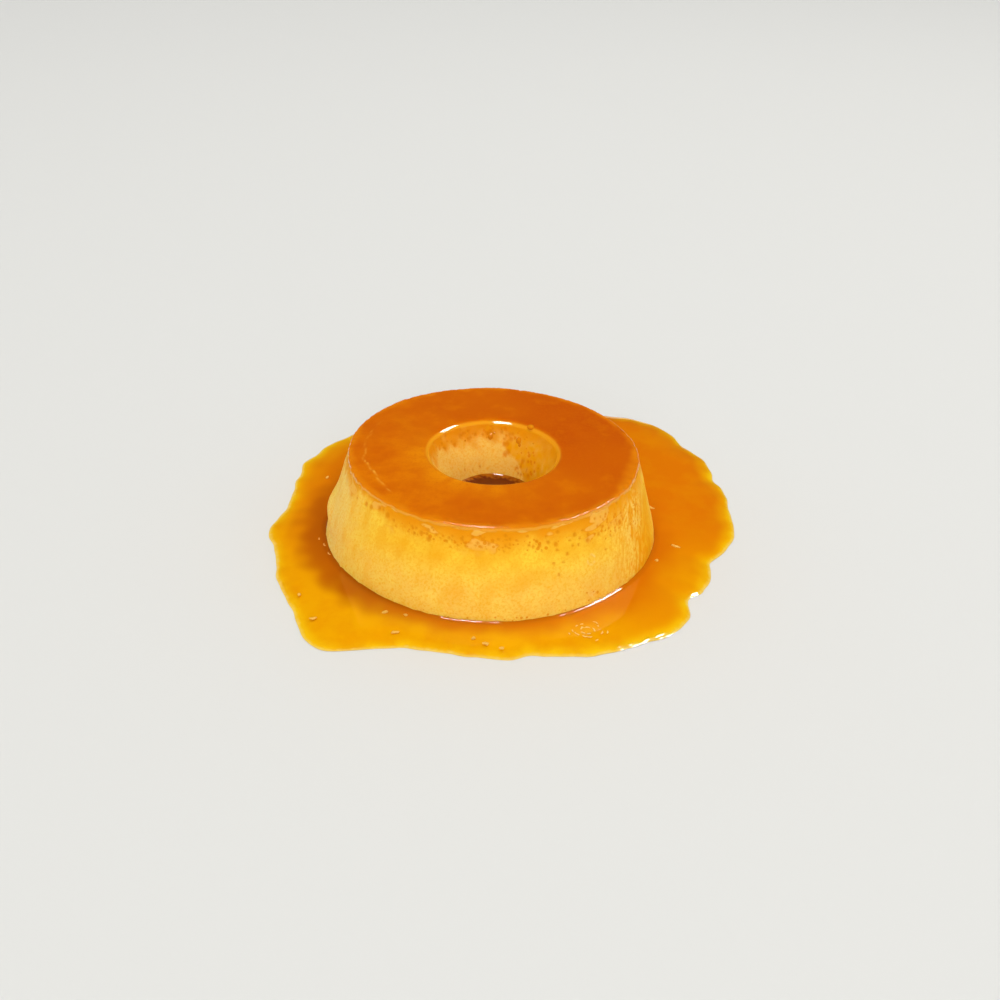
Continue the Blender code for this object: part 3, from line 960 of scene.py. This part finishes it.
def lumps(name, table, width, flatness, seed):
    """Small uneven lumps afloat on the sauce, joined into one piece."""
    draw = np.random.default_rng(seed)
    pieces = []
    for x, y, length, direction in table:
        bpy.ops.object.select_all(action="DESELECT")
        bpy.ops.mesh.primitive_ico_sphere_add(subdivisions=3, radius=width / 2, location=(0, 0, 0))
        lump = bpy.context.active_object
        bpy.ops.object.mode_set(mode="EDIT")
        bpy.ops.transform.resize(value=(length, 1.0, flatness))
        bpy.ops.object.mode_set(mode="OBJECT")
        shape = points_of(lump)
        uneven = ripple(shape, width * 0.8, seed=int(draw.integers(1000)))
        shape *= 1 + LUMP_UNEVENNESS * uneven[:, None]
        shape[:, 1] += LUMP_BEND * shape[:, 0] ** 2 / width
        turn = math.radians(direction)
        turning = np.array([[math.cos(turn), math.sin(turn)], [-math.sin(turn), math.cos(turn)]])
        shape[:, :2] = shape[:, :2] @ turning
        from_deep_side = math.atan2(y, x) - math.radians(PUDDLE_DEEP_SIDE)
        level = PUDDLE_DEPTH + PUDDLE_TILT * math.cos(from_deep_side)
        set_points(lump, shape + (x, y, level))
        pieces.append(lump)
    return joined(pieces, name)


crumbs = lumps("custard_crumbs", CRUMBS, CRUMB_WIDTH, CRUMB_FLATNESS, seed=51)
scraps = lumps("custard_scraps", SHED, SCRAP_WIDTH, SCRAP_FLATNESS, seed=54)
draw = np.random.default_rng(52)
wisps = []
for _ in range(FROTH_WISPS):
    bearing = draw.uniform(0, 360)
    away = draw.choice((0.35, 0.7, 1.0)) * draw.uniform(0.92, 1.08)
    x = FROTH_MIDDLE[0] + FROTH_REACH[0] * away * math.cos(math.radians(bearing))
    y = FROTH_MIDDLE[1] + FROTH_REACH[1] * away * math.sin(math.radians(bearing))
    wisps.append((x, y, draw.uniform(*WISP_LENGTHS), bearing + 90 + draw.normal(0, 12)))
froth = lumps("sauce_froth", wisps, WISP_WIDTH, WISP_FLATNESS, seed=53)

# Wet custard skin: as pale as the custard, darkened a little by the sauce that soaks it. The
# froth is a paler yellow, because its bubbles scatter the light.
SPECKLE_SIZE = 0.5 * MM
for piece, finish, dark, light, slot in (
    (crumbs, "wet custard crumbs", "#E4A43C", "#F1C25C", "custard"),
    (scraps, "thin wet custard scraps", "#E0922C", "#F0B860", "custard"),
    (froth, "fine sauce bubbles", "#F6BC48", "#FCD888", "caramel_sauce"),
):
    wet_skin, tree, shader = new_material(finish)
    place = add(tree, "ShaderNodeTexCoord").outputs["Object"]
    speckle = add(tree, "ShaderNodeTexNoise", {"Vector": place, "Scale": 1 / SPECKLE_SIZE, "Detail": 2.0})
    sockets = {0: speckle.outputs["Fac"], 6: linear(dark), 7: linear(light)}
    colour = add(tree, "ShaderNodeMix", sockets, data_type="RGBA").outputs[2]
    tree.links.new(colour, shader.inputs["Base Color"])
    shader.inputs["Roughness"].default_value = 0.5
    shader.inputs["IOR"].default_value = 1.42
    shader.inputs["Specular IOR Level"].default_value = 0.05
    piece.data.materials.append(wet_skin)
    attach(piece, "root")


# Beads: a little of the caramel stands in drops on the lip and on the wall of the hole, each a
# small dome that shines.
# (degrees, height, how far out from the wall, radius, height over radius)
BEADS = (
    (56, 32.7 * MM, 0.9 * MM, 1.30 * MM, 0.7),
    (94, 27.2 * MM, 0.7 * MM, 1.15 * MM, 1.3),
    (90, 28.6 * MM, 0.3 * MM, 0.40 * MM, 1.2),
    (64, 27.1 * MM, 0.7 * MM, 1.25 * MM, 1.2),
    (62, 25.9 * MM, 0.3 * MM, 0.60 * MM, 1.3),
    (47, 28.1 * MM, 0.3 * MM, 0.45 * MM, 1.1),
    (121, 27.0 * MM, 0.3 * MM, 0.35 * MM, 1.2),
    (51, 14.3 * MM, 0.5 * MM, 0.90 * MM, 0.8),
    (232, 26.5 * MM, 0.3 * MM, 0.60 * MM, 1.2),
    (284, 28.5 * MM, 0.3 * MM, 0.50 * MM, 1.2),
)
drops = []
for bearing, level, out, size, squash in BEADS:
    bpy.ops.object.select_all(action="DESELECT")
    turn = math.radians(bearing)
    away = float(hole_radius(level)) + out + waves(HOLE_WAVES, turn)
    spot = (away * math.cos(turn), away * math.sin(turn), level)
    bpy.ops.mesh.primitive_ico_sphere_add(subdivisions=3, radius=size, location=(0, 0, 0))
    drop = bpy.context.active_object
    set_points(drop, points_of(drop) * (1.0, 1.0, squash) + spot)
    drops.append(drop)
beads = joined(drops, "caramel_beads")

# Standing drops of caramel: clear and mirror-smooth, and about as dark as the film.
TINT_SIZE = 2 * MM
bead_amber, tree, shader = new_material("standing caramel drops")
place = add(tree, "ShaderNodeTexCoord").outputs["Object"]
tint = add(tree, "ShaderNodeTexNoise", {"Vector": place, "Scale": 1 / TINT_SIZE, "Detail": 1.0})
sockets = {0: tint.outputs["Fac"], 6: linear("#D27408"), 7: linear("#E8960E")}
colour = add(tree, "ShaderNodeMix", sockets, data_type="RGBA").outputs[2]
tree.links.new(colour, shader.inputs["Base Color"])
shader.inputs["Roughness"].default_value = 0.03
shader.inputs["IOR"].default_value = 1.47
beads.data.materials.append(bead_amber)
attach(beads, "root")


# The stage: a pale matt floor under soft studio light. The surroundings light the flan evenly
# and are dark in its reflections, so that the caramel keeps its depth of colour. Two windows of
# light show only as highlights, and two soft lamps light the front and the top without showing.
FLOOR_SIZE = 12.0
FLOOR_DROP = 0.05 * MM  # so that it doesn't touch the underside
SURROUNDINGS_LIGHT = 0.84
SURROUNDINGS_REFLECTED = 0.03
bpy.ops.object.select_all(action="DESELECT")
bpy.ops.mesh.primitive_plane_add(size=FLOOR_SIZE, location=(0, 0, -FLOOR_DROP))
floor = bpy.context.active_object
floor.name = "floor"
floor_white, tree, shader = new_material("matt white board")
shader.inputs["Base Color"].default_value = linear("#D9D8D2")
shader.inputs["Roughness"].default_value = 0.8
shader.inputs["Specular IOR Level"].default_value = 0.1
floor.data.materials.append(floor_white)

world = bpy.data.worlds.new("studio")
bpy.context.scene.world = world
world.use_nodes = True
tree = world.node_tree
surroundings = tree.nodes["Background"]
surroundings.inputs["Color"].default_value = linear("#F6F7FA")
surroundings.inputs["Strength"].default_value = SURROUNDINGS_LIGHT
sockets = {"Color": linear("#FFF6E6"), "Strength": SURROUNDINGS_REFLECTED}
reflected = add(tree, "ShaderNodeBackground", sockets)
ray = add(tree, "ShaderNodeLightPath")
sockets = {0: ray.outputs["Is Glossy Ray"], 1: surroundings.outputs[0], 2: reflected.outputs[0]}
both = add(tree, "ShaderNodeMixShader", sockets)
tree.links.new(both.outputs[0], tree.nodes["World Output"].inputs["Surface"])

# Rectangular lamps that face the flan:
# (name, direction from the flan, distance, width, length, watts, whether it shows only as a highlight)
LAMPS = (
    ("right_window", (0.51, 0.30, 0.80), 2.2, 0.62, 0.64, 62.0, True),
    ("overhead_window", (-0.15, -0.35, 0.93), 2.2, 0.76, 0.60, 74.0, True),
    ("front_fill", (0.0, -0.88, 0.42), 2.6, 1.8, 1.0, 21.0, False),
    ("top_fill", (0.2, 0.3, 0.93), 2.4, 1.2, 1.2, 17.0, False),
)
for name, direction, distance, lamp_width, lamp_length, watts, highlight_only in LAMPS:
    data = bpy.data.lights.new(name, "AREA")
    data.shape = "RECTANGLE"
    data.size = lamp_width
    data.size_y = lamp_length
    data.energy = watts
    lamp = bpy.data.objects.new(name, data)
    bpy.context.scene.collection.objects.link(lamp)
    lamp.location = Vector(direction).normalized() * distance
    lamp.rotation_euler = Vector(direction).to_track_quat("Z", "Y").to_euler()
    lamp.visible_diffuse = not highlight_only
    lamp.visible_glossy = highlight_only

bpy.context.scene.view_settings.view_transform = "Standard"
bpy.context.view_layer.update()
